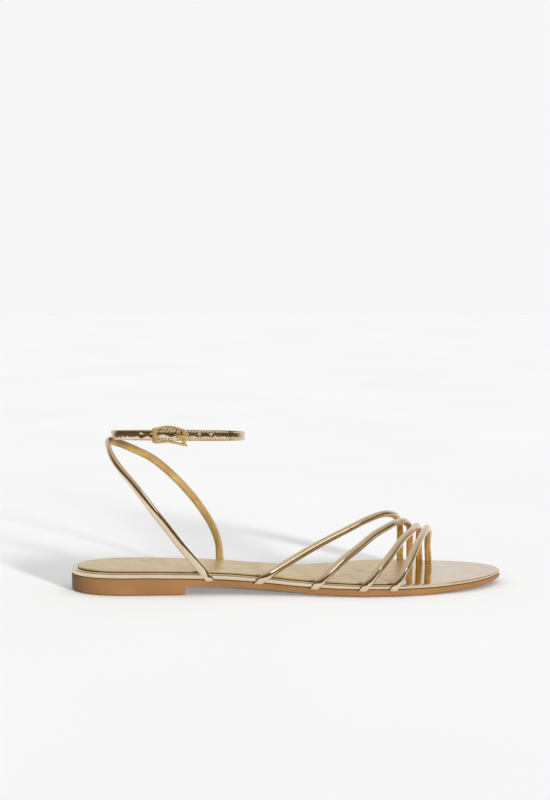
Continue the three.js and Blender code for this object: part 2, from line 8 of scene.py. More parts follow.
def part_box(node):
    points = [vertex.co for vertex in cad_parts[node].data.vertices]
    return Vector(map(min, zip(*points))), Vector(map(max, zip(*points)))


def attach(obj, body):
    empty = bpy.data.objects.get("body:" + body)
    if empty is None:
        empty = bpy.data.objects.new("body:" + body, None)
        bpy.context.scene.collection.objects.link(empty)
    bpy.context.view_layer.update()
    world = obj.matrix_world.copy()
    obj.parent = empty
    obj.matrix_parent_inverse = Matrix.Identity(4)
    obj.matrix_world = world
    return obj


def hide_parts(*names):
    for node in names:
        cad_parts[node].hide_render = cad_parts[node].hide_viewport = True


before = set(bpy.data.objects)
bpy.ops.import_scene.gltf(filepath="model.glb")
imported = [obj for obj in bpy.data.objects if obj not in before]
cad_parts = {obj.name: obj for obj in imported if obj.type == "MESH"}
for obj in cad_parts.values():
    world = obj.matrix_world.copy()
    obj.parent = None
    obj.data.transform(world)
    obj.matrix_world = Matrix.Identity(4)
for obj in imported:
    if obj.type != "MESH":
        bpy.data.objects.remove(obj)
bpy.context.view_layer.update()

bl_info = {
    "name": "Gold strappy sandal",
    "version": (1, 0, 0),
    "blender": (4, 5, 0),
    "location": "3D View > Sidebar > Sandal",
    "description": "Dresses the solids of a flat strappy sandal in foiled leather, rubber and brass",
    "category": "Object",
}

MM = 0.001

# Sizes of the solids, in millimetres. X runs from heel to toe, Y from the outer side to the inner.
SOLE_LENGTH = 250.0
BALL_WIDTH = 78.5
WAIST_WIDTH = 45.3
HEEL_WIDTH = 47.8
HEEL_HEIGHT = 9.7
HEEL_BLOCK_LENGTH = 64.5
FOREFOOT_THICKNESS = 4.3
ARCH_HEIGHT = 5.4
TOE_SPRING = 3.0
TREAD_EDGE_INSET = 1.5
TREAD_EDGE_RISE = 1.8
BOARD_THICKNESS = 3.0
BOARD_EDGE_ROUND = 0.6
SOCK_THICKNESS = 1.2
SOCK_INSET = 3.4
SOCK_LENGTH = 204.0
SOCK_SLANT = 20.0
SOCK_BULGE = 3.0
FIT_GAP = 0.3
STRAP_WIDTH = 4.6
STRAP_INNER_WIDTH = 4.1
STRAP_THICKNESS = 4.7
FOOT_THICKNESS = 1.7
TAIL_THICKNESS = 1.0
TAIL_LENGTH = 4.0
FOOT_BEND = 1.2
FOOT_PROUD = 0.7
TOE_VAULT = 31.6
HEEL_STRAP_WIDTH = 4.6
HEEL_STRAP_THICKNESS = 3.4
HEEL_STRAP_SPREAD = 31.0
ANKLE_WIDTH = 5.45
ANKLE_THICKNESS = 1.8
ANKLE_BACK_INSET = 24.0
ANKLE_LOOP_LENGTH = 75.0
ANKLE_LOOP_WIDTH = 58.0
ANKLE_LOOP_RISE = 75.8
ANKLE_SIDE_SLOPE = 0.121
ANKLE_BACK_SLOPE = 0.017
STITCHED_LAP = 0.3
HINGE_BEARING = -100.0
BILLET_WIDTH = 5.6
BILLET_THICKNESS = 1.8
BILLET_FRONT = 37.3
BILLET_TAIL = 34.0
HOLE_PITCH = 6.6
HOLE_DIAMETER = 1.6
HOLE_FIRST = 17.5
WIRE = 1.4
HINGE_SINK = 0.4
KEEPER_REACH = 6.3
END_REACH = 8.8
KEEPER_BAR_WIDTH = 2.9
END_BAR_WIDTH = 2.4
FRAME_DROOP = 0.1
PRONG_DIAMETER = 1.2
PRONG_EYE_WALL = 0.6
PRONG_RISE = 2.4
PRONG_OVERHANG = 1.8
FOLD_WALL = 0.8

# Outline of the sole: place along it, the width the row follows, half widths to the outer and inner side
OUTLINE = (
    (0, HEEL_WIDTH, 0, 0), (0.012, HEEL_WIDTH, 0.211, 0.228), (0.032, HEEL_WIDTH, 0.333, 0.345),
    (0.064, HEEL_WIDTH, 0.431, 0.441), (0.12, HEEL_WIDTH, 0.498, 0.5), (0.2, HEEL_WIDTH, 0.517, 0.483),
    (0.3, WAIST_WIDTH, 0.558, 0.455), (0.4, WAIST_WIDTH, 0.6, 0.4), (0.5, BALL_WIDTH, 0.401, 0.242),
    (0.6, BALL_WIDTH, 0.476, 0.349), (0.66, BALL_WIDTH, 0.504, 0.439), (0.72, BALL_WIDTH, 0.507, 0.492),
    (0.78, BALL_WIDTH, 0.485, 0.501), (0.84, BALL_WIDTH, 0.439, 0.474), (0.9, BALL_WIDTH, 0.366, 0.41),
    (0.952, BALL_WIDTH, 0.259, 0.304), (0.984, BALL_WIDTH, 0.141, 0.185), (1, BALL_WIDTH, 0.022, 0.029),
)

# Side profile: place along the sole, lift of the heel, toe spring on top and in the tread, arch, board
PROFILE = (
    (0, 1, 0, 0, 1, 1), (0.16, 1, 0, 0, 1, 1), (0.24, 0.93, 0, 0, 1, 1), (0.34, 0.8, 0, 0, 0.91, 0.97),
    (0.44, 0.47, 0, 0, 0.63, 0.91), (0.52, 0.17, 0, 0, 0.35, 0.88), (0.6, 0.04, 0, 0, 0.08, 0.78),
    (0.67, 0, 0, 0, 0, 0.7), (0.8, 0, -0.06, 0, 0, 0.64), (0.9, 0, 0.17, 0.4, 0, 0.58),
    (1, 0, 0.55, 1, 0, 0.54),
)

# Toe straps from rear to front: outer and inner foot along the sole, slants there, and rows of
# place across the foot, share of the way from foot to foot, and height as a share of the vault
TOE_STRAPS = (
    (0.418, 0.793, 1.3, -0.05, (
        (-0.56, 0.181, 0.245), (-0.28, 0.396, 0.564), (-0.025, 0.608, 0.826), (0.127, 0.718, 0.944),
        (0.357, 0.833, 1.01), (0.51, 0.895, 0.987), (0.69, 0.947, 0.905), (0.84, 0.981, 0.726),
        (0.94, 0.992, 0.494))),
    (0.5446, 0.816, 0.9, -0.05, (
        (-0.69, 0.255, 0.374), (-0.46, 0.41, 0.561), (-0.18, 0.571, 0.737), (0.1, 0.734, 0.85),
        (0.31, 0.815, 0.87), (0.51, 0.897, 0.84), (0.71, 0.962, 0.721), (0.87, 0.988, 0.507),
        (0.965, 0.994, 0.293))),
    (0.6515, 0.838, 0.8, 0.0, (
        (-0.915, 0.214, 0.259), (-0.79, 0.33, 0.407), (-0.61, 0.449, 0.547), (-0.357, 0.576, 0.673),
        (0, 0.753, 0.772), (0.357, 0.868, 0.782), (0.713, 0.96, 0.631), (0.9, 0.985, 0.396))),
    (0.7217, 0.859, 0.6, 0.0, (
        (-0.915, 0.22, 0.257), (-0.79, 0.327, 0.406), (-0.61, 0.44, 0.545), (-0.357, 0.57, 0.671),
        (0, 0.738, 0.759), (0.357, 0.858, 0.739), (0.713, 0.961, 0.567), (0.9, 0.985, 0.37))),
)

# Heel strap legs: foot, slant, and rows of way back, spread and height
HEEL_LEGS = {
    -1: (0.3145, -0.78, (
        (0.286, 0.968, 0.229), (0.42, 1, 0.369), (0.576, 1, 0.526), (0.734, 0.903, 0.686),
        (0.884, 0.71, 0.822), (0.966, 0.452, 0.908), (1, 0.194, 0.974))),
    1: (0.3465, -0.08, (
        (0.012, 0.839, 0.128), (0.063, 0.935, 0.256), (0.16, 1, 0.398), (0.276, 1, 0.533),
        (0.444, 0.935, 0.693), (0.616, 0.774, 0.826), (0.776, 0.548, 0.909), (0.93, 0.258, 0.979))),
}


def lerp(a, b, t):
    return a + (b - a) * t


def clamp(x, low=0.0, high=1.0):
    return max(low, min(high, x))


def smoothstep(x, low, high):
    t = clamp((x - low) / (high - low))
    return t * t * (3 - 2 * t)


def bump(x, centre, width):
    return math.exp(-((x - centre) / width) ** 2)


def column_curve(places, values):
    """A smooth curve through a column of a table that never overshoots its values."""
    last = len(places) - 1
    slopes = [(values[i + 1] - values[i]) / (places[i + 1] - places[i]) for i in range(last)]
    tangents = [slopes[0]]
    for i in range(1, last):
        product = slopes[i - 1] * slopes[i]
        tangents.append(0.0 if product <= 0 else 2 * product / (slopes[i - 1] + slopes[i]))
    tangents.append(slopes[-1])

    def value(place):
        x = clamp(place, places[0], places[last])
        i = 0
        while i < last - 1 and x > places[i + 1]:
            i += 1
        span = places[i + 1] - places[i]
        t = (x - places[i]) / span
        s = 1 - t
        return (values[i] * (1 + 2 * t) * s * s + values[i + 1] * t * t * (3 - 2 * t)
                + span * t * s * (tangents[i] * s - tangents[i + 1] * t))
    return value


def end_angle(along):
    return math.acos(1 - 2 * clamp(along))


OUTLINE_ANGLES = [end_angle(row[0]) for row in OUTLINE]
OUTER_HALF = column_curve(OUTLINE_ANGLES, [row[1] * row[2] for row in OUTLINE])
INNER_HALF = column_curve(OUTLINE_ANGLES, [row[1] * row[3] for row in OUTLINE])
PROFILE_PLACES = [row[0] for row in PROFILE]
LIFT, SPRING, TREAD, ARCH, BOARD = (
    column_curve(PROFILE_PLACES, [row[column] for row in PROFILE]) for column in range(1, 6))
ARCH_FRONT = next(row[0] for row in PROFILE if row[4] == 0)
SIDE_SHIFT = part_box("outsole")[0][1] / MM + max(OUTER_HALF(math.pi * i / 400) for i in range(401))


def share_of(x):
    return (x + SOLE_LENGTH / 2) / SOLE_LENGTH


def place_of(along):
    return (along - 0.5) * SOLE_LENGTH


def half_width(side, x):
    return (OUTER_HALF if side < 0 else INNER_HALF)(end_angle(share_of(x)))


def tread_height(x):
    return TOE_SPRING * TREAD(share_of(x))


def arch_height(x):
    inside = place_of(HEEL_BLOCK_LENGTH / SOLE_LENGTH) < x < place_of(ARCH_FRONT)
    return ARCH_HEIGHT * ARCH(share_of(x)) if inside else 0.0


def outsole_top(x):
    return (FOREFOOT_THICKNESS + TOE_SPRING * SPRING(share_of(x))
            + (HEEL_HEIGHT - FOREFOOT_THICKNESS) * LIFT(share_of(x)))


def board_bottom(x):
    return outsole_top(x) + FIT_GAP


def board_top(x):
    return board_bottom(x) + BOARD_THICKNESS * BOARD(share_of(x))


def edge_point(side, angle, inset):
    """A point on the sole's outline at an angle of the circle over its length, drawn in by the inset."""
    def at(a):
        return Vector((place_of((1 - math.cos(a)) / 2), side * (OUTER_HALF if side < 0 else INNER_HALF)(a)))
    ahead = at(min(angle + 0.01, math.pi)) - at(max(angle - 0.01, 0))
    if angle <= 0:
        ahead = Vector((0, side))
    ahead.normalize()
    inward = Vector((side * ahead.y, -side * ahead.x))
    return at(angle) + inward * inset


# Lines along straps

class StrapLine:
    """A smooth line through rows of (point, way out, width, thickness), evenly eased between them."""

    def __init__(self, rows):
        self.rows = rows
        self.points = [row[0] for row in rows]

    def point(self, place):
        points = self.points
        count = len(points)
        i = min(int(math.floor(place)), count - 2)
        t = place - i
        before = points[i - 1] if i > 0 else points[0] * 2 - points[1]
        after = points[i + 2] if i + 2 < count else points[-1] * 2 - points[-2]
        start, end = points[i], points[i + 1]
        d0 = math.sqrt((start - before).length)
        d1 = math.sqrt((end - start).length)
        d2 = math.sqrt((after - end).length)
        t1 = ((start - before) / d0 - (end - before) / (d0 + d1) + (end - start) / d1) * d1
        t2 = ((end - start) / d1 - (after - start) / (d1 + d2) + (after - end) / d2) * d1
        a = start * 2 - end * 2 + t1 + t2
        b = end * 3 - start * 3 - t1 * 2 - t2
        return a * t ** 3 + b * t ** 2 + t1 * t + start

    def frame(self, place):
        last = len(self.rows) - 1
        along = (self.point(min(place + 0.01, last)) - self.point(max(place - 0.01, 0))).normalized()
        i = min(int(place), last - 1)
        part = place - i
        out = self.rows[i][1].lerp(self.rows[i + 1][1], part)
        out = (out - along * out.dot(along)).normalized()
        width = lerp(self.rows[i][2], self.rows[i + 1][2], part)
        thickness = lerp(self.rows[i][3], self.rows[i + 1][3], part)
        return self.point(place), along, out, width, thickness


def strap_foot(side, x, slant, width):
    """The rows of a strap's foot, from its tail under the board to where it leaves the board's edge."""
    def row(run, proud, z, thickness, out=None):
        place = x + run
        slope = (half_width(side, place + 1) - half_width(side, place - 1)) / 2
        outward = Vector((-slope, side, 0)).normalized()
        at = Vector((place, side * half_width(side, place), z)) + outward * proud
        return at, out or outward, width, thickness
    tail_height = outsole_top(x) - TAIL_THICKNESS / 2
    bend_in = FOOT_PROUD - FOOT_BEND
    half = math.sqrt(0.5) * FOOT_BEND
    lip_height = board_top(x) + FOOT_THICKNESS / 2
    climb = lip_height - tail_height - FOOT_BEND
    down = Vector((0, 0, -1))
    return [
        row(-slant * TAIL_LENGTH, bend_in - TAIL_LENGTH, tail_height, TAIL_THICKNESS, down),
        row(0, bend_in, tail_height, TAIL_THICKNESS, down),
        row(slant * half, bend_in + half, tail_height + FOOT_BEND - half, FOOT_THICKNESS,
            Vector((0, side, -1)).normalized()),
        row(slant * FOOT_BEND, FOOT_PROUD, tail_height + FOOT_BEND, FOOT_THICKNESS),
        row(slant * (FOOT_BEND + climb), FOOT_PROUD, lip_height, FOOT_THICKNESS),
    ]


def toe_strap_rows(outer_foot, inner_foot, outer_slant, inner_slant, rows):
    start, end = place_of(outer_foot), place_of(inner_foot)
    middle = []
    for across, run, up in rows:
        x = lerp(start, end, run)
        rise = up * TOE_VAULT
        at = Vector((x, across * BALL_WIDTH / 2, board_top(x) + rise))
        out = Vector((0, across * BALL_WIDTH * 0.5, rise)).normalized()
        middle.append((at, out, lerp(STRAP_WIDTH, STRAP_INNER_WIDTH, run), STRAP_THICKNESS))
    return (strap_foot(-1, start, outer_slant, STRAP_WIDTH) + middle
            + strap_foot(1, end, inner_slant, STRAP_INNER_WIDTH)[::-1])


ANKLE_MIDDLE = place_of(ANKLE_BACK_INSET / SOLE_LENGTH) + ANKLE_LOOP_LENGTH / 2
ANKLE_HEIGHT = board_top(ANKLE_MIDDLE) + ANKLE_LOOP_RISE


def loop_point(turn):
    angle = math.radians(HINGE_BEARING) + 2 * math.pi * turn
    return Vector((ANKLE_MIDDLE + ANKLE_LOOP_LENGTH / 2 * math.cos(angle),
                   ANKLE_LOOP_WIDTH / 2 * math.sin(angle)))


LOOP_STEPS = 720
LOOP_RUN = [0.0]
for _step in range(LOOP_STEPS):
    _chord = loop_point((_step + 1) / LOOP_STEPS) - loop_point(_step / LOOP_STEPS)
    LOOP_RUN.append(LOOP_RUN[-1] + _chord.length)
ANKLE_LENGTH = LOOP_RUN[-1]


def loop_turn(along):
    run = along % ANKLE_LENGTH
    low, high = 0, LOOP_STEPS
    while high - low > 1:
        middle = (low + high) // 2
        if LOOP_RUN[middle] > run:
            high = middle
        else:
            low = middle
    return (low + (run - LOOP_RUN[low]) / (LOOP_RUN[high] - LOOP_RUN[low])) / LOOP_STEPS


def on_ankle(along, out=0.0, up=0.0):
    """A place on the ankle loop, measured from the buckle's hinge towards the toe, and the way out there."""
    turn = loop_turn(along)
    place = loop_point(turn)
    forward = (loop_point(turn + 0.001) - loop_point(turn - 0.001)).normalized()
    outward = Vector((forward.y, -forward.x, 0))
    height = ANKLE_HEIGHT - ANKLE_SIDE_SLOPE * place.y - ANKLE_BACK_SLOPE * (place.x - ANKLE_MIDDLE)
    return Vector((place.x, place.y, height + up)) + outward * out, outward


HINGE_LIFT = FOLD_WALL + WIRE / 2 + FIT_GAP - HINGE_SINK + FIT_GAP + BILLET_THICKNESS / 2
LAP_LIFT = (ANKLE_THICKNESS + BILLET_THICKNESS) / 2 + FIT_GAP


def billet_lift(along):
    if along > 0:
        return HINGE_LIFT * (1 - smoothstep(along, 0, END_REACH))
    return lerp(HINGE_LIFT, LAP_LIFT, smoothstep(-along, 0, KEEPER_REACH))


def heel_strap_rows():
    top_height = on_ankle(-ANKLE_LENGTH / 4)[0].z - ANKLE_WIDTH / 2
    top_place = (ANKLE_MIDDLE - ANKLE_LOOP_LENGTH / 2 - ANKLE_THICKNESS / 2
                 - HEEL_STRAP_THICKNESS / 2 + STITCHED_LAP)

    def leg(side):
        foot, slant, rows = HEEL_LEGS[side]
        start = place_of(foot)
        bottom = board_top(start)
        middle = []
        for back, spread, up in rows:
            x = lerp(start, top_place, back)
            y = side * spread * HEEL_STRAP_SPREAD
            out = Vector((x - ANKLE_MIDDLE, y * 1.5, 0)).normalized()
            middle.append((Vector((x, y, lerp(bottom, top_height, up))), out,
                           HEEL_STRAP_WIDTH, HEEL_STRAP_THICKNESS))
        return strap_foot(side, start, slant, HEEL_STRAP_WIDTH) + middle
    top = (Vector((top_place, 0, top_height)), Vector((-1, 0, 0)), HEEL_STRAP_WIDTH, HEEL_STRAP_THICKNESS)
    return leg(-1) + [top] + leg(1)[::-1]


# Mesh making

def in_frame(point):
    return Vector((point.x * MM, (point.y + SIDE_SHIFT) * MM, point.z * MM))


def pick(*pieces):
    """Selects these pieces and nothing else, the first of them active."""
    bpy.ops.object.select_all(action="DESELECT")
    for piece in pieces:
        piece.select_set(True)
    if pieces:
        bpy.context.view_layer.objects.active = pieces[0]


def skin(name, rings, lengths=None, around=10.0, split=None):
    """A closed body through rings of points in millimetres, begun as a grid and drawn over the rings."""
    pick()
    count, turns = len(rings[0]), len(rings) - 1
    bpy.ops.mesh.primitive_grid_add(x_subdivisions=count, y_subdivisions=turns, size=1)
    piece = bpy.context.object
    piece.name = piece.data.name = name
    mesh = piece.data
    co = []
    for ring in rings:
        for point in list(ring) + [ring[0]]:
            co.extend(in_frame(point))
    mesh.vertices.foreach_set("co", co)
    uv = mesh.uv_layers.active
    for loop in mesh.loops:
        column, row = loop.vertex_index % (count + 1), loop.vertex_index // (count + 1)
        run = lengths[row] if lengths else row
        uv.data[loop.index].uv = (run * 0.1, column / count * around * 0.1)
    bpy.ops.object.mode_set(mode="EDIT")
    bpy.ops.mesh.select_all(action="SELECT")
    bpy.ops.mesh.remove_doubles(threshold=1e-6)
    bpy.ops.mesh.fill_holes(sides=0)
    bpy.ops.mesh.select_all(action="SELECT")
    bpy.ops.mesh.normals_make_consistent(inside=False)
    bpy.ops.object.mode_set(mode="OBJECT")
    bpy.ops.object.transform_apply(location=True, rotation=True, scale=True)
    if split:
        split(mesh)
    bpy.ops.object.shade_smooth_by_angle(angle=math.radians(40))
    return piece


def finish_piece(piece, nodes, slot, *materials):
    for material in materials:
        piece.data.materials.append(material)
    for node in nodes:
        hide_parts(node)
    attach(piece, "root")
    return piece


def swept(name, line, section, places, relief=None, **extra):
    """A strap: a section carried along a line. relief(run, share, u, v) lifts the surface, in millimetres."""
    rings, lengths = [], []
    run, last_point = 0.0, None
    for place in places:
        centre, along, out, width, thickness = line.frame(place)
        if last_point is not None:
            run += (centre - last_point).length
        last_point = centre
        lengths.append(run)
        across = out.cross(along)
        ring = []
        for u, v in section(width / 2, thickness / 2):
            point = centre + across * u + out * v
            if relief:
                lift = relief(run, place / (len(line.rows) - 1), u / (width / 2), v / (thickness / 2))
                direction = (across * u / width ** 2 + out * v / thickness ** 2)
                if direction.length > 1e-9:
                    point = point + direction.normalized() * lift
            ring.append(point)
        rings.append(ring)
    return skin(name, rings, lengths, **extra), run


def rolled_section(half_width_, half_thickness, count=28):
    points = []
    for i in range(count):
        turn = 2 * math.pi * i / count
        high = math.sin(turn)
        points.append((half_width_ * math.cos(turn), half_thickness * (high if high > 0 else high * 0.7)))
    return points


def round_section(half_width_, half_thickness, count=16):
    turns = [2 * math.pi * i / count for i in range(count)]
    return [(half_width_ * math.cos(turn), half_thickness * math.sin(turn)) for turn in turns]


CROWN = 0.35
CROWN_POWER = 2.6


def crown_drop(u, half):
    """How far the padded face of a folded strap falls from its middle, in millimetres."""
    return CROWN * min(abs(u) / half, 1.0) ** CROWN_POWER


def flat_section(half_width_, half_thickness, face=24, corner=4, crown=CROWN):
    """A strap folded at both edges over a thin filler: a crowned face, round edges, a flat back."""
    r = half_thickness * 0.85
    inner = half_width_ - r

    def height(u):
        return half_thickness - crown * (abs(u) / half_width_) ** CROWN_POWER

    def folded_edge(side):
        points = []
        for i in range(1, corner * 2):
            turn = -side * math.pi / 2 + math.pi * i / (corner * 2)
            high = math.sin(turn)
            points.append((side * inner + r * math.cos(turn),
                           high * (height(inner) if high > 0 else half_thickness)))
        return points
    crowned = [(u, height(u)) for u in (lerp(inner, -inner, i / face) for i in range(face + 1))]
    back = [(lerp(-inner, inner, i / 8), -half_thickness) for i in range(9)]
    return crowned + folded_edge(-1) + back + folded_edge(1)


def even_places(rows, per_row):
    last = len(rows) - 1
    return [last * i / (last * per_row) for i in range(last * per_row + 1)]


def slab(name, layers, top, bottom, stations, across=20):
    """A sole layer: rings from heel to toe, each over the top, round both edges and under."""
    rings = []
    for angle in stations:
        outer = [edge_point(-1, angle, inset) for inset, _height in layers]
        inner = [edge_point(1, angle, inset) for inset, _height in layers]
        ring = [Vector((p.x, p.y, height(p.x))) for p, (_inset, height) in zip(outer, layers)]
        for i in range(1, across):
            p = outer[-1].lerp(inner[-1], i / across)
            ring.append(Vector((p.x, p.y, top(p.x, i / across))))
        ring += [Vector((p.x, p.y, height(p.x))) for p, (_inset, height) in zip(inner[::-1], layers[::-1])]
        for i in range(1, across):
            p = inner[0].lerp(outer[0], i / across)
            ring.append(Vector((p.x, p.y, bottom(p.x, i / across))))
        rings.append(ring)
    return skin(name, rings)


def sole_stations(count):
    return [math.pi * i / count for i in range(count + 1)]


def lathed(name, centre, profile, way=1, steps=32):
    """A ring about an upright axis, from a closed profile of (radius, height)."""
    rings = []
    for k in range(steps + 1):
        turn = 2 * math.pi * k / steps
        rings.append([centre + Vector((r * math.cos(turn), r * math.sin(turn), way * z)) for r, z in profile])
    return skin(name, rings)


# Materials

def linear(hex_code):
    """An sRGB hex colour as linear numbers."""
    parts = [int(hex_code[i:i + 2], 16) / 255 for i in (1, 3, 5)]
    return tuple(c / 12.92 if c <= 0.04045 else ((c + 0.055) / 1.055) ** 2.4 for c in parts) + (1.0,)


def add_node(tree, kind, links=(), stops=(), **settings):
    """A node with its settings; links are (output socket, name or number of this node's input), and
    stops are the (place, sRGB hex) of a colour ramp."""
    node = tree.nodes.new(kind)
    for key, value in settings.items():
        if hasattr(node, key):
            setattr(node, key, value)
        else:
            node.inputs[key.replace("_", " ")].default_value = value
    for output, target in links:
        tree.links.new(output, node.inputs[target])
    for i, (place, colour) in enumerate(stops):
        elements = node.color_ramp.elements
        element = elements[i] if i < len(elements) else elements.new(place)
        element.position = place
        element.color = linear(colour)
    return node


def clouded(name, light, dark, clouds, dull=None, relief=None, stretch=(1.0, 1.0, 1.0), **shader):
    """A material whose finish follows noises over the piece's own coordinates.

    clouds is the colour's noise, and stretch draws it out. dull is (noise, low, high) for the roughness,
    and relief is (noise, depth, strength). A noise is (scale per metre, detail, roughness).
    """
    material = bpy.data.materials.new(name)
    material.use_nodes = True
    tree = material.node_tree
    principled = tree.nodes["Principled BSDF"]
    for key, value in shader.items():
        principled.inputs[key.replace("_", " ")].default_value = value
    place = add_node(tree, "ShaderNodeTexCoord").outputs["Object"]
    drawn_out = add_node(tree, "ShaderNodeMapping", [(place, "Vector")], Scale=stretch).outputs["Vector"]
    grains = [(drawn_out, clouds)] + [(place, part[0]) for part in (dull, relief) if part]
    noises = [add_node(tree, "ShaderNodeTexNoise", [(coordinates, "Vector")], Scale=scale, Detail=detail,
                       Roughness=rough).outputs["Fac"]
              for coordinates, (scale, detail, rough) in grains]
    ramp = add_node(tree, "ShaderNodeValToRGB", [(noises[0], "Fac")], ((0.3, dark), (0.7, light)))
    tree.links.new(ramp.outputs["Color"], principled.inputs["Base Color"])
    if dull and relief:
        sheen = add_node(tree, "ShaderNodeMapRange", [(noises[1], "Value")], From_Min=0.3, From_Max=0.7,
                         To_Min=dull[1], To_Max=dull[2])
        tree.links.new(sheen.outputs["Result"], principled.inputs["Roughness"])
        raised = add_node(tree, "ShaderNodeBump", [(noises[2], "Height")], Distance=relief[1],
                          Strength=relief[2])
        tree.links.new(raised.outputs["Normal"], principled.inputs["Normal"])
    return material


def foiled_leather(name, light, dark, roughness, metallic=1.0):
    """Leather under a gold foil: a mirror that the hide's grain, 1.4 mm apart, and slow waves blur."""
    return clouded(name, light, dark, (90, 2.0, 0.5), ((300, 3.0, 0.5), roughness * 0.8, roughness * 1.3),
                   ((700, 2.0, 0.5), 0.00005, 0.25), Metallic=metallic)


def wrinkled_foil(name, light, dark, roughness):
    """The foil's inner side where the hide is bent: fine creases 2.4 mm apart that catch the light."""
    creases = (420, 3.0, 0.6)
    return clouded(name, light, dark, (160, 2.0, 0.5), (creases, roughness * 0.7, roughness * 1.5),
                   (creases, 0.0006, 0.35), Metallic=0.78)


def satin_foil(name):
    """The sock's foil, pressed through a fine cloth: satin, with long soft brush marks."""
    return clouded(name, "#e4cfa4", "#d6bd8c", (60, 4.0, 0.6), ((200, 3.0, 0.5), 0.3, 0.42),
                   ((900, 2.0, 0.5), 0.0001, 0.3), stretch=(1.0, 3.0, 3.0), Metallic=0.8)


def moulded_rubber(name, light, dark):
    """Thermoplastic rubber from a blasted mould: dull, its fine grain drawn at 0.8 mm so that it shows."""
    return clouded(name, light, dark, (35, 3.0, 0.5), ((240, 3.0, 0.5), 0.5, 0.66),
                   ((1300, 3.0, 0.6), 0.0002, 0.35), IOR=1.5)


def plated_zinc(name):
    """Cast zinc with a pale brass plating: brushed to a satin, with soft casting waves."""
    return clouded(name, "#d4bc82", "#bb9a5c", (250, 3.0, 0.5), ((500, 3.0, 0.5), 0.3, 0.42),
                   ((400, 2.0, 0.5), 0.0002, 0.25), Metallic=0.8)


def twisted_thread(name):
    """Metallised polyester thread: a sheen over pale gold, its plies drawn 0.5 mm apart to show."""
    plies = (2200, 2.0, 0.5)
    return clouded(name, "#f0e4cc", "#c9b48a", plies, (plies, 0.32, 0.5), (plies, 0.0001, 0.4),
                   Metallic=0.7, IOR=1.57)


def studio_paper(name):
    """Matt white paper for the floor, with no shine at all."""
    return clouded(name, "#f6f6f6", "#f4f4f4", (4, 2.0, 0.5), Roughness=0.95, Specular_IOR_Level=0.0)


# Properties

class SandalFinish(bpy.types.PropertyGroup):
    stitch_pitch: bpy.props.FloatProperty(
        name="Stitch pitch", description="Distance from one stitch to the next", default=0.0017,
        unit="LENGTH")
    thread_thickness: bpy.props.FloatProperty(
        name="Thread", description="Thickness of the sewing thread", default=0.0006, unit="LENGTH")
    crease_depth: bpy.props.FloatProperty(
        name="Creases", description="Depth of the creases near the strap feet", default=0.00016,
        unit="LENGTH")
    foil_light: bpy.props.StringProperty(
        name="Foil, light", description="sRGB hex colour of the foil", default="#e8d6bb")
    foil_dark: bpy.props.StringProperty(
        name="Foil, dark", description="sRGB hex colour of the foil where it is stretched", default="#dfcbad")
    # The lining's colours are darker and browner than the foil's. This is a painted reflection of the dim
    # room that the inner side faces, laid over its real creases. The darker stop follows soft clouds, not the
    # creases.
    shaded_lining_light: bpy.props.StringProperty(
        name="Lining, light", description="sRGB hex colour of the straps' inner side", default="#dcb678")
    shaded_lining_dark: bpy.props.StringProperty(
        name="Lining, dark", description="sRGB hex colour of its creases", default="#b98e4c")
    rubber_light: bpy.props.StringProperty(
        name="Rubber, light", description="sRGB hex colour of the outsole", default="#775431")
    rubber_dark: bpy.props.StringProperty(
        name="Rubber, dark", description="sRGB hex colour of the outsole's darker clouds", default="#69492a")


def finish_of(context):
    return context.scene.sandal_finish


_made = {}


def material_once(make, name, *values):
    if name not in _made:
        _made[name] = make(name, *values)
    return _made[name]


def strap_foil(context):
    finish = finish_of(context)
    return material_once(foiled_leather, "foiled strap leather", finish.foil_light, finish.foil_dark, 0.08)


# The inner side's creased foil, whose darker and browner colour is a painted reflection of a dim room.
def shaded_strap_lining(context):
    finish = finish_of(context)
    return material_once(wrinkled_foil, "creased foil lining", finish.shaded_lining_light, finish.shaded_lining_dark, 0.25)


# Steps along a strap in which its inner side is looked for; the limits below are cosines to the way out
LINING_STEPS = 80
FLAT_LINING = -0.5
ROLLED_LINING = -0.6
# On the toe straps' inner legs, the lining and its painted reflection reach further round the strap.
TOE_INNER_LEG = (60, -0.05)
HEEL_INNER_LEG = (40, 0.45)


def line_inner_side(line, limit, last_leg=(LINING_STEPS + 1, 0)):
    """Gives the faces on a strap's inner side the lining, with a limit of its own on the last leg."""
    leg_start, leg_limit = last_leg

    def split(mesh):
        steps = range(LINING_STEPS + 1)
        samples = [line.frame(i * (len(line.rows) - 1) / LINING_STEPS) for i in steps]
        centres = [in_frame(sample[0]) for sample in samples]
        for face in mesh.polygons:
            nearest = min(steps, key=lambda k: (centres[k] - face.center).length_squared)
            least = limit if nearest < leg_start else leg_limit
            face.material_index = 1 if face.normal.dot(samples[nearest][2]) < least else 0
    return split


# Operators

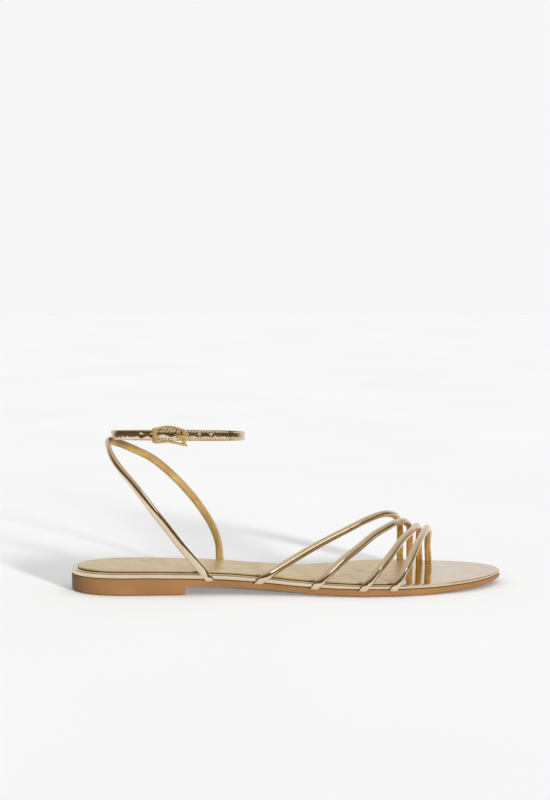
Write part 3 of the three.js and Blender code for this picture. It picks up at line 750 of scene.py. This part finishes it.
class SANDAL_OT_outsole(bpy.types.Operator):
    """Moulds the tan outsole with its heel block, hollow waist and rounded tread edge"""
    bl_idname = "sandal.outsole"
    bl_label = "Outsole"

    def execute(self, context):
        finish = finish_of(context)
        breast = end_angle(HEEL_BLOCK_LENGTH / SOLE_LENGTH)
        stations = sorted(sole_stations(200) + [breast - 1e-4, breast + 1e-4])

        def raised(lift):
            return lambda x: max(tread_height(x) + lift, arch_height(x))
        layers = [
            (TREAD_EDGE_INSET, raised(0)), (TREAD_EDGE_INSET * 0.72, raised(TREAD_EDGE_RISE * 0.1)),
            (TREAD_EDGE_INSET * 0.3, raised(TREAD_EDGE_RISE * 0.4)),
            (TREAD_EDGE_INSET * 0.07, raised(TREAD_EDGE_RISE * 0.75)), (0, raised(TREAD_EDGE_RISE)),
            (0, lambda x: outsole_top(x) - 0.35), (0.12, lambda x: outsole_top(x) - 0.08), (0.4, outsole_top),
        ]
        piece = slab("outsole_rubber", layers, lambda x, t: outsole_top(x),
                     lambda x, t: max(tread_height(x), arch_height(x)), stations)
        rubber = moulded_rubber("moulded tan rubber", finish.rubber_light, finish.rubber_dark)
        finish_piece(piece, ["outsole"], "tan_outsole", rubber)
        return {"FINISHED"}


class SANDAL_OT_footbed(bpy.types.Operator):
    """Wraps the board in foiled leather and glues the sock on it"""
    bl_idname = "sandal.footbed"
    bl_label = "Board and sock"

    def execute(self, context):
        finish = finish_of(context)
        r = BOARD_EDGE_ROUND
        layers = [
            (r, board_bottom), (r * 0.3, lambda x: board_bottom(x) + r * 0.3),
            (0, lambda x: board_bottom(x) + r), (0, lambda x: board_top(x) - r),
            (r * 0.08, lambda x: board_top(x) - r * 0.6), (r * 0.3, lambda x: board_top(x) - r * 0.3),
            (r * 0.6, lambda x: board_top(x) - r * 0.08), (r, board_top),
        ]
        board = slab("board_wrap", layers, lambda x, t: board_top(x), lambda x, t: board_bottom(x),
                     sole_stations(200))
        wrap = foiled_leather("foiled board wrap", finish.foil_light, finish.foil_dark, 0.09)
        finish_piece(board, ["footbed_board"], "board_wrap", wrap)
        sock = self.sock()
        finish_piece(sock, ["insole_sock"], "sock_leather", satin_foil("satin foiled sock"))
        return {"FINISHED"}

    def sock(self):
        """The sock follows the outline, with a slanted and slightly bowed front edge."""
        rings = []
        across, steps = 28, 160
        inner_front = SOCK_LENGTH / SOLE_LENGTH
        outer_front = (SOCK_LENGTH - SOCK_SLANT) / SOLE_LENGTH
        edge = ((0, FIT_GAP), (0, 0.75), (0.08, 1.0), (0.3, 1.14), (0.7, SOCK_THICKNESS))
        for k in range(steps + 1):
            outer_angle = end_angle(outer_front) * k / steps
            inner_angle = end_angle(inner_front) * k / steps

            def rim(side, angle, inset, height):
                p = edge_point(side, angle, SOCK_INSET + inset)
                return Vector((p.x, p.y, board_top(p.x) + height))
            outer = [rim(-1, outer_angle, *e) for e in edge]
            inner = [rim(1, inner_angle, *e) for e in edge]
            bow = SOCK_BULGE * (k / steps) ** 10

            def between(a, b, t, height):
                p = a.lerp(b, t)
                x = p.x + bow * 4 * t * (1 - t)
                return Vector((x, p.y, board_top(x) + height))
            ring = list(outer)
            ring += [between(outer[-1], inner[-1], i / across, SOCK_THICKNESS) for i in range(1, across)]
            ring += inner[::-1]
            ring += [between(inner[0], outer[0], i / across, FIT_GAP) for i in range(1, across)]
            rings.append(ring)
        return skin("sock_lining", rings)


class SANDAL_OT_toe_straps(bpy.types.Operator):
    """Rolls the four toe straps, with creases where their feet bend round the board"""
    bl_idname = "sandal.toe_straps"
    bl_label = "Toe straps"

    def execute(self, context):
        depth = finish_of(context).crease_depth / MM
        for number, strap in enumerate(TOE_STRAPS, 1):
            line = StrapLine(toe_strap_rows(*strap))

            def relief(run, share, u, v, seed=number):
                inner_leg = smoothstep(share, 0.66, 0.9)
                inside = clamp(-v)
                folds = noise.noise(Vector((run * 0.55, u * 0.8, seed * 7.0)))
                folds += 0.6 * noise.noise(Vector((run * 1.3, v * 0.8, seed * 3.0)))
                seam = -0.25 * bump(u, 0, 0.09) * (1 if v < 0 else 0)
                return depth * folds * (0.25 + 2.6 * inner_leg * (0.35 + inside)) + seam
            piece, _length = swept(f"toe_strap_{number}_leather", line, rolled_section,
                                   even_places(line.rows, 12), relief, around=14,
                                   split=line_inner_side(line, ROLLED_LINING, TOE_INNER_LEG))
            finish_piece(piece, [f"toe_strap_{number}"], "mirror_leather", strap_foil(context),
                         shaded_strap_lining(context))
        return {"FINISHED"}


class SANDAL_OT_heel_strap(bpy.types.Operator):
    """Rolls the heel strap round the back of the ankle loop"""
    bl_idname = "sandal.heel_strap"
    bl_label = "Heel strap"

    def execute(self, context):
        depth = finish_of(context).crease_depth / MM
        line = StrapLine(heel_strap_rows())

        def relief(run, share, u, v):
            folds = noise.noise(Vector((run * 0.4, u * 0.8, 5.0)))
            seam = -0.12 * bump(u, 0, 0.14) * (1 if v < 0 else 0)
            return depth * folds * 0.35 + seam
        piece, _length = swept("heel_strap_leather", line, rolled_section, even_places(line.rows, 12),
                               relief, around=14,
                               split=line_inner_side(line, ROLLED_LINING, HEEL_INNER_LEG))
        back = foiled_leather("smooth foil lining", "#c6a86f", "#b0905a", 0.42, 0.68)
        finish_piece(piece, ["heel_and_ankle_strap"], "mirror_leather", strap_foil(context), back)
        return {"FINISHED"}


SEAM_INSET = 0.95
SEAM_SINK = 0.02
STITCH_SHARE = 0.84
BUCKLE_SWELL = 0.8
RIM_PLACE = 5.1
RIM_RADIUS = 1.85
RIM_ROLL = 0.5
RIM_SINK = 0.15
RIM_SHARE_ALONG = 0.78
PRONG_HOLE = PRONG_RISE + 2.2


def stitched_relief(half, pitch, holes=(), start=0.0, seam_end=math.inf, puckers=None):
    """Leather drawn in along both seams, dished round each hole and puckered inside the buckle."""
    seam_place = 1 - SEAM_INSET / half

    def relief(run, share, u, v):
        if v < 0.4:
            return 0.0
        pull = 0.55 + 0.45 * math.cos(2 * math.pi * run / pitch)
        lift = -0.26 * bump(abs(u), seam_place, 0.13) * pull if run < seam_end else 0.0
        for hole in holes:
            distance = math.hypot(run - (start - hole), u * half)
            lift -= 0.28 * bump(distance, 0, 1.35)
        if puckers:
            first, last = puckers
            inside = smoothstep(run, first, first + 2) * (1 - smoothstep(run, last - 2, last))
            lift += 0.45 * inside * noise.noise(Vector((run * 0.4, u * 1.3, 11.0)))
        return lift + 0.05 * noise.noise(Vector((run * 0.7, u * 2.0, start)))
    return relief


def sewn(name, spots, length, thread):
    """A row of stitches: one round-ended stitch for each (place, direction along, way out)."""
    mesh = bpy.data.meshes.new(name)
    shape = bmesh.new()
    for at, along, out in spots:
        across = out.cross(along).normalized()
        turn = Matrix((along, across, along.cross(across))).transposed().to_4x4()
        matrix = Matrix.Translation(in_frame(at)) @ turn @ Matrix.Diagonal((length * MM / 2, thread * MM / 2,
                                                                           thread * MM / 2, 1))
        bmesh.ops.create_uvsphere(shape, u_segments=8, v_segments=6, radius=1, matrix=matrix)
    shape.to_mesh(mesh)
    shape.free()
    mesh.shade_smooth()
    piece = bpy.data.objects.new(name, mesh)
    bpy.context.collection.objects.link(piece)
    return piece


def seam_spots(first, last, pitch, edge, surface, slant):
    """Stitch places along both edges of a strap on the ankle loop."""
    spots = []
    count = int(abs(last - first) / pitch)
    for i in range(count):
        along = lerp(first, last, (i + 0.5) / count)
        for way in (1, -1):
            at, outward = on_ankle(along, surface(along), way * edge)
            ahead = on_ankle(along + 0.5, surface(along + 0.5), way * edge)[0] - at
            direction = (ahead.normalized() + Vector((0, 0, slant * way))).normalized()
            spots.append((at, direction, outward))
    return spots


def sew_edges(context, name, node, first, last, width, thickness, slant, lift=lambda along: 0.0):
    """Both seams of a strap on the ankle loop, in gold thread."""
    finish = finish_of(context)
    pitch = finish.stitch_pitch / MM
    edge = width / 2 - SEAM_INSET
    level = thickness / 2 - crown_drop(edge, width / 2) - SEAM_SINK
    spots = seam_spots(first, last, pitch, edge, lambda along: lift(along) + level, slant)
    seam = sewn(name, spots, STITCH_SHARE * pitch, finish.thread_thickness / MM)
    finish_piece(seam, [node], "mirror_leather", material_once(twisted_thread, "gold thread"))


class SANDAL_OT_ankle_strap(bpy.types.Operator):
    """Cuts and stitches the ankle strap, with its short end folded round the buckle's bar"""
    bl_idname = "sandal.ankle_strap"
    bl_label = "Ankle strap"

    def execute(self, context):
        pitch = finish_of(context).stitch_pitch / MM
        reach = ANKLE_LENGTH - BILLET_FRONT - FIT_GAP
        rows = [(*on_ankle(-reach * i / 34), ANKLE_WIDTH, ANKLE_THICKNESS) for i in range(35)]
        line = StrapLine(rows)
        piece, _length = swept("ankle_strap_leather", line, flat_section, even_places(rows, 16),
                               stitched_relief(ANKLE_WIDTH / 2, pitch), around=14,
                               split=line_inner_side(line, FLAT_LINING))
        finish_piece(piece, ["heel_and_ankle_strap"], "mirror_leather", strap_foil(context),
                     shaded_strap_lining(context))
        sew_edges(context, "ankle_strap_seam", "heel_and_ankle_strap", -BILLET_TAIL - 1, -reach + 2,
                  ANKLE_WIDTH, ANKLE_THICKNESS, 0.12)
        self.fold(context)
        return {"FINISHED"}

    def fold(self, context):
        """The short end round the middle bar, open in the middle for the prong."""
        radius = WIRE / 2 + FIT_GAP + FOLD_WALL
        half = ANKLE_WIDTH / 2 - 0.3
        slot = PRONG_DIAMETER / 2 + FIT_GAP
        centre = on_ankle(0, -HINGE_SINK)[0]
        profile = ((WIRE / 2 + FIT_GAP, slot), (radius - 0.15, slot), (radius, slot + 0.15),
                   (radius, half - 0.3), (radius - 0.1, half - 0.08), (radius - 0.3, half),
                   (WIRE / 2 + FIT_GAP, half))
        for name, way in (("buckle_fold_upper", 1), ("buckle_fold_lower", -1)):
            finish_piece(lathed(name, centre, profile, way), ["heel_and_ankle_strap"], "mirror_leather",
                         strap_foil(context))


class SANDAL_OT_billet(bpy.types.Operator):
    """Cuts, punches and stitches the billet"""
    bl_idname = "sandal.billet"
    bl_label = "Billet"

    def execute(self, context):
        pitch = finish_of(context).stitch_pitch / MM
        steps = 40
        rows = []
        for i in range(steps + 1):
            along = BILLET_FRONT - (BILLET_FRONT + BILLET_TAIL) * i / steps
            swell = (BUCKLE_SWELL * smoothstep(along, -KEEPER_REACH - 1, -2)
                     * (1 - smoothstep(along, 4, END_REACH)))
            at, outward = on_ankle(along, billet_lift(along), swell * 0.35)
            rows.append((at, outward, BILLET_WIDTH * (0.5 if i == steps else 1) + swell, BILLET_THICKNESS))
        line = StrapLine(rows)
        places = even_places(rows, 9)
        tail = [steps - 1 + (1 - (1 - t / 9) ** 2) for t in range(1, 9)]
        places = [p for p in places if p <= steps - 1] + tail + [steps]
        count = int((HOLE_FIRST + BILLET_TAIL) // HOLE_PITCH)
        holes = [HOLE_FIRST + HOLE_PITCH * (1 - i) for i in range(count)]
        clear = [h for h in holes if h > END_REACH + PRONG_OVERHANG or h < -PRONG_RISE]
        piece, _length = swept("billet_leather", line, flat_section, places,
                               stitched_relief(BILLET_WIDTH / 2, pitch, clear, BILLET_FRONT,
                                               BILLET_FRONT + KEEPER_REACH,
                                               (BILLET_FRONT - END_REACH, BILLET_FRONT + KEEPER_REACH)),
                               around=14, split=line_inner_side(line, FLAT_LINING))
        finish_piece(piece, ["billet"], "mirror_leather", strap_foil(context), shaded_strap_lining(context))
        self.rim(context)
        for at, outward in [on_ankle(hole, billet_lift(hole)) for hole in clear] + [on_ankle(PRONG_HOLE)]:
            self.punch(piece, at, outward)
        sew_edges(context, "billet_seam", "billet", BILLET_FRONT - 1.4, -KEEPER_REACH,
                  BILLET_WIDTH, BILLET_THICKNESS, 0.25, billet_lift)
        return {"FINISHED"}

    def rim(self, context):
        """The raw leather that the prong pushes up round its hole."""
        at, outward = on_ankle(RIM_PLACE, billet_lift(RIM_PLACE) + BILLET_THICKNESS / 2 - RIM_SINK)
        pick()
        bpy.ops.mesh.primitive_torus_add(major_segments=40, minor_segments=12,
                                         major_radius=RIM_RADIUS * MM, minor_radius=RIM_ROLL * MM,
                                         location=in_frame(at),
                                         rotation=outward.to_track_quat("Z", "Y").to_euler())
        piece = bpy.context.object
        piece.name = piece.data.name = "prong_hole_rim"
        piece.scale = (1.0, RIM_SHARE_ALONG, 1.0)
        bpy.ops.object.transform_apply(location=True, rotation=True, scale=True)
        piece.data.shade_smooth()
        finish_piece(piece, ["billet"], "mirror_leather", shaded_strap_lining(context))

    def punch(self, piece, at, outward):
        """One round hole through the strap."""
        pick()
        bpy.ops.mesh.primitive_cylinder_add(vertices=20, radius=HOLE_DIAMETER * MM / 2, depth=6 * MM,
                                            location=in_frame(at),
                                            rotation=outward.to_track_quat("Z", "Y").to_euler())
        cutter = bpy.context.object
        bpy.ops.object.transform_apply(location=True, rotation=True, scale=True)
        pick(piece)
        modifier = piece.modifiers.new("hole", "BOOLEAN")
        modifier.operation = "DIFFERENCE"
        modifier.object = cutter
        modifier.solver = "EXACT"
        bpy.ops.object.modifier_apply(modifier=modifier.name)
        bpy.data.objects.remove(cutter, do_unlink=True)


def cast(piece, voxel):
    """Runs the joined bars together as one casting."""
    pick(piece)
    remesh = piece.modifiers.new("one body", "REMESH")
    remesh.mode = "VOXEL"
    remesh.voxel_size = voxel * MM
    smooth = piece.modifiers.new("soft edges", "SMOOTH")
    smooth.factor = 0.5
    smooth.iterations = 3
    for name in ("one body", "soft edges"):
        bpy.ops.object.modifier_apply(modifier=name)
    bpy.ops.object.mode_set(mode="EDIT")
    bpy.ops.mesh.select_all(action="SELECT")
    bpy.ops.mesh.normals_make_consistent(inside=False)
    bpy.ops.object.mode_set(mode="OBJECT")
    piece.data.shade_smooth()


def joined(pieces, name):
    pick(*pieces)
    bpy.ops.object.join()
    piece = bpy.context.object
    piece.name = piece.data.name = name
    return piece


def buckle_spot(along, out):
    """A place on the prong's line, which sinks a little towards the toe."""
    return on_ankle(along, out, -along * FRAME_DROOP)


END_OUT = BILLET_THICKNESS / 2 + FIT_GAP + WIRE / 2
KEEPER_OUT = LAP_LIFT + BILLET_THICKNESS / 2 + FIT_GAP + WIRE / 2


# Arms of the buckle: place from the hinge, way out, height of the upper arm and of the lower one
BUCKLE_ROWS = (
    (-KEEPER_REACH, KEEPER_OUT, 3.6, -4.05),
    (-KEEPER_REACH / 2, (KEEPER_OUT - HINGE_SINK) / 2, 4.1, -4.0),
    (0, -HINGE_SINK, 4.3, -4.0),
    (END_REACH / 2, (END_OUT - HINGE_SINK) / 2 - HINGE_SINK / 2, 3.75, -4.55),
    (END_REACH, END_OUT, 2.7, -5.5),
)


class SANDAL_OT_buckle(bpy.types.Operator):
    """Casts the buckle frame and its prong"""
    bl_idname = "sandal.buckle"
    bl_label = "Buckle"

    def execute(self, context):
        plating = plated_zinc("pale brass plating")
        frame_piece = self.frame_body()
        finish_piece(frame_piece, ["buckle_frame"], "buckle_brass", plating)
        prong = self.prong()
        finish_piece(prong, ["buckle_prong"], "buckle_brass", plating)
        return {"FINISHED"}

    def frame_body(self):
        """Two arms, the upper one arched and the lower one falling away, three bars and a small foot."""
        parts = []
        for column in (2, 3):
            rows = [(*on_ankle(row[0], row[1], row[column]), WIRE * 1.05, WIRE * 1.05) for row in BUCKLE_ROWS]
            parts.append(swept("arm", StrapLine(rows), round_section, even_places(rows, 8))[0])
        keeper, hinge, end = BUCKLE_ROWS[0], BUCKLE_ROWS[2], BUCKLE_ROWS[-1]
        bars = ((keeper, KEEPER_BAR_WIDTH), (hinge, WIRE), (end, END_BAR_WIDTH))
        for (along, out, high, low), width in bars:
            rows = [(*on_ankle(along, out, up), width, WIRE * 1.15) for up in (low - 0.2, high + 0.2)]
            parts.append(swept("bar", StrapLine(rows), round_section, even_places(rows, 12))[0])
        foot = [(*on_ankle(END_REACH + ahead, END_OUT, end[3] - drop), WIRE * 0.8, WIRE * 0.8)
                for ahead, drop in ((0.2, 0.1), (1.1, 0.35), (1.75, 0.3))]
        parts.append(swept("foot", StrapLine(foot), round_section, even_places(foot, 6))[0])
        piece = joined(parts, "buckle_frame_casting")
        cast(piece, 0.13)
        return piece

    def prong(self):
        eye_radius = WIRE / 2 + FIT_GAP + PRONG_EYE_WALL
        tip = END_OUT + WIRE / 2 + FIT_GAP + PRONG_DIAMETER / 2
        rise = tip + HINGE_SINK
        places = (
            (eye_radius / 2, -HINGE_SINK), (PRONG_RISE, -HINGE_SINK),
            ((PRONG_RISE * 2 + END_REACH) / 3, rise / 2 - HINGE_SINK), ((PRONG_RISE + END_REACH) / 2, tip),
            (END_REACH, tip), (END_REACH + PRONG_OVERHANG, tip - FIT_GAP),
        )
        rows = [(*buckle_spot(along, out), PRONG_DIAMETER, PRONG_DIAMETER) for along, out in places]
        tang = swept("tang", StrapLine(rows), round_section, even_places(rows, 8))[0]
        inner = WIRE / 2 + FIT_GAP
        half = PRONG_DIAMETER / 2
        profile = ((inner, -half), (eye_radius, -half), (eye_radius, half), (inner, half))
        eye = lathed("eye", buckle_spot(0, -HINGE_SINK)[0], profile)
        piece = joined([tang, eye], "buckle_prong_wire")
        cast(piece, 0.1)
        return piece


# Where the softbox stands, the cosines at its soft edge, and its light
SOFTBOX_WAY = (0.572, -0.592, 0.568)
SOFTBOX_EDGE = (0.978, 0.988)
SOFTBOX_LIGHT = (1.9, 1.85, 1.75, 1.0)

# Where the key's light goes over the floor, how steeply each of its lamps falls and how wide it looks,
# in degrees, and each lamp's strength
KEY_WAY = (-0.475, 0.88)
KEY_RISES = (6, 7.5, 9)
KEY_WIDTH = 6
KEY_STRENGTH = 2.24

# The walls that the metal mirrors, by share of the way from floor to ceiling, and how far back, as a
# share of the view's length, the front one turns into the one behind
FRONT_WALL = ((0.0, "#ffffff"), (0.37, "#f0f0f0"), (0.41, "#6e604f"), (0.52, "#5c4d3d"),
              (0.64, "#6b5b45"), (0.72, "#8b7a62"), (0.81, "#beb3a2"), (1.0, "#d6d3cb"))
BACK_WALL = ((0.0, "#ffffff"), (0.5, "#e4e2e4"), (0.7, "#e6e5e4"), (1.0, "#d8d6d0"))
WALLS_MEET = (0.3, 0.7)

# The room's light on matt things, from the horizon to straight above, and the backdrop's colour
MATT_LIGHT = (0.3, 0.96)
BACKDROP = "#f7f7f7"

# Radii of the floor's mirrored disc and of its outer edge, in metres
FLOOR_NEAR = 0.45
FLOOR_FAR = 6.0
FLOOR_SIDES = 96

# The photo's camera: place in metres, tilt below level and turn to the right in degrees, lens in mm
CAMERA_PLACE = (-0.08875, -0.89565, 0.18208)
CAMERA_TILT = 4.679
CAMERA_TURN = 5.185
CAMERA_LENS = 70.26


class SANDAL_OT_stage(bpy.types.Operator):
    """Sets the pale floor, the soft light and the camera"""
    bl_idname = "sandal.stage"
    bl_label = "Stage"

    def execute(self, context):
        floor = self.floor()
        self.light()
        self.world(context)
        self.camera(context)
        return {"FINISHED"}

    def floor(self):
        """A near disc that metal mirrors, and a wide ring round it that it doesn't."""
        paper = studio_paper("white studio paper")
        discs = []
        for name, inner, outer in (("floor_near", 0.0, FLOOR_NEAR), ("floor_far", FLOOR_NEAR, FLOOR_FAR)):
            mesh = bpy.data.meshes.new(name)
            shape = bmesh.new()
            if inner == 0:
                bmesh.ops.create_circle(shape, cap_ends=True, segments=FLOOR_SIDES, radius=outer)
            else:
                a = bmesh.ops.create_circle(shape, segments=FLOOR_SIDES, radius=inner)["verts"]
                b = bmesh.ops.create_circle(shape, segments=FLOOR_SIDES, radius=outer)["verts"]
                for i in range(FLOOR_SIDES):
                    after = (i + 1) % FLOOR_SIDES
                    shape.faces.new((a[i], b[i], b[after], a[after]))
            shape.to_mesh(mesh)
            shape.free()
            disc = bpy.data.objects.new(name, mesh)
            bpy.context.collection.objects.link(disc)
            mesh.materials.append(paper)
            discs.append(disc)
        discs[1].visible_glossy = False
        return discs

    def light(self):
        """A low and tall key from the front right; the metal mirrors the room instead of the lamps."""
        for rise in KEY_RISES:
            data = bpy.data.lights.new("key", "SUN")
            data.energy = KEY_STRENGTH
            data.angle = math.radians(KEY_WIDTH)
            lamp = bpy.data.objects.new("key", data)
            way = Vector((*KEY_WAY, -math.tan(math.radians(rise))))
            lamp.rotation_euler = way.to_track_quat("-Z", "Y").to_euler()
            lamp.visible_glossy = False
            bpy.context.collection.objects.link(lamp)

    def world(self, context):
        """The room: plain white where it lights matt things, with a dark front wall for the metal."""
        world = bpy.data.worlds.new("studio")
        context.scene.world = world
        world.use_nodes = True
        tree = world.node_tree
        tree.nodes.clear()
        direction = add_node(tree, "ShaderNodeTexCoord").outputs["Generated"]
        parts = add_node(tree, "ShaderNodeSeparateXYZ", [(direction, 0)])
        height = add_node(tree, "ShaderNodeMapRange", [(parts.outputs["Z"], "Value")], From_Min=-1.0,
                          From_Max=1.0).outputs["Result"]
        front, back = (add_node(tree, "ShaderNodeValToRGB", [(height, "Fac")], wall).outputs["Color"]
                       for wall in (FRONT_WALL, BACK_WALL))
        behind = add_node(tree, "ShaderNodeMapRange", [(parts.outputs["Y"], "Value")],
                          From_Min=WALLS_MEET[0], From_Max=WALLS_MEET[1]).outputs["Result"]
        walls = add_node(tree, "ShaderNodeMixRGB", [(behind, "Fac"), (front, "Color1"), (back, "Color2")])
        facing = add_node(tree, "ShaderNodeVectorMath", [(direction, 0)], operation="DOT_PRODUCT")
        facing.inputs[1].default_value = SOFTBOX_WAY
        inside = add_node(tree, "ShaderNodeMapRange", [(facing.outputs["Value"], "Value")],
                          From_Min=SOFTBOX_EDGE[0], From_Max=SOFTBOX_EDGE[1]).outputs["Result"]
        mix = add_node(tree, "ShaderNodeMixRGB", [(inside, "Fac"), (walls.outputs["Color"], "Color1")])
        mix.inputs["Color2"].default_value = SOFTBOX_LIGHT
        ray = add_node(tree, "ShaderNodeLightPath")
        mirrored = add_node(tree, "ShaderNodeBackground", [(mix.outputs["Color"], "Color")], Strength=1.0)
        above = add_node(tree, "ShaderNodeMapRange", [(parts.outputs["Z"], "Value")], From_Min=0.0,
                         From_Max=1.0, To_Min=MATT_LIGHT[0], To_Max=MATT_LIGHT[1]).outputs["Result"]
        matt = add_node(tree, "ShaderNodeBackground", [(above, "Strength")], Color=linear("#ffffff"))
        seen = add_node(tree, "ShaderNodeBackground", Color=linear(BACKDROP), Strength=1.0)
        lit = add_node(tree, "ShaderNodeMixShader", [
            (ray.outputs["Is Diffuse Ray"], 0), (mirrored.outputs[0], 1), (matt.outputs[0], 2)])
        both = add_node(tree, "ShaderNodeMixShader", [
            (ray.outputs["Is Camera Ray"], 0), (lit.outputs[0], 1), (seen.outputs[0], 2)])
        add_node(tree, "ShaderNodeOutputWorld", [(both.outputs[0], "Surface")])
        context.scene.view_settings.view_transform = "Standard"

    def camera(self, context):
        data = bpy.data.cameras.new("photo_view")
        data.sensor_width = 36
        data.lens = CAMERA_LENS
        data.clip_end = 50
        camera = bpy.data.objects.new("photo_view", data)
        x, y, z = CAMERA_PLACE
        camera.location = (x, y + SIDE_SHIFT * MM, z)
        camera.rotation_euler = (math.radians(90 - CAMERA_TILT), 0, math.radians(-CAMERA_TURN))
        context.collection.objects.link(camera)
        context.scene.camera = camera


OPERATORS = (SANDAL_OT_outsole, SANDAL_OT_footbed, SANDAL_OT_toe_straps, SANDAL_OT_heel_strap,
             SANDAL_OT_ankle_strap, SANDAL_OT_billet, SANDAL_OT_buckle, SANDAL_OT_stage)


class SANDAL_PT_panel(bpy.types.Panel):
    """Lists the sandal's pieces and finishes"""
    bl_idname = "SANDAL_PT_panel"
    bl_label = "Gold strappy sandal"
    bl_space_type = "VIEW_3D"
    bl_region_type = "UI"
    bl_category = "Sandal"

    def draw(self, context):
        finish = context.scene.sandal_finish
        for name in SandalFinish.__annotations__:
            self.layout.prop(finish, name)
        for operator in OPERATORS:
            self.layout.operator(operator.bl_idname)


CLASSES = (SandalFinish, *OPERATORS, SANDAL_PT_panel)


def register():
    for cls in CLASSES:
        bpy.utils.register_class(cls)
    bpy.types.Scene.sandal_finish = bpy.props.PointerProperty(type=SandalFinish)


def unregister():
    del bpy.types.Scene.sandal_finish
    for cls in reversed(CLASSES):
        bpy.utils.unregister_class(cls)


def main():
    register()
    for operator in OPERATORS:
        group, name = operator.bl_idname.split(".")
        getattr(getattr(bpy.ops, group), name)()


if __name__ == "__main__":
    main()
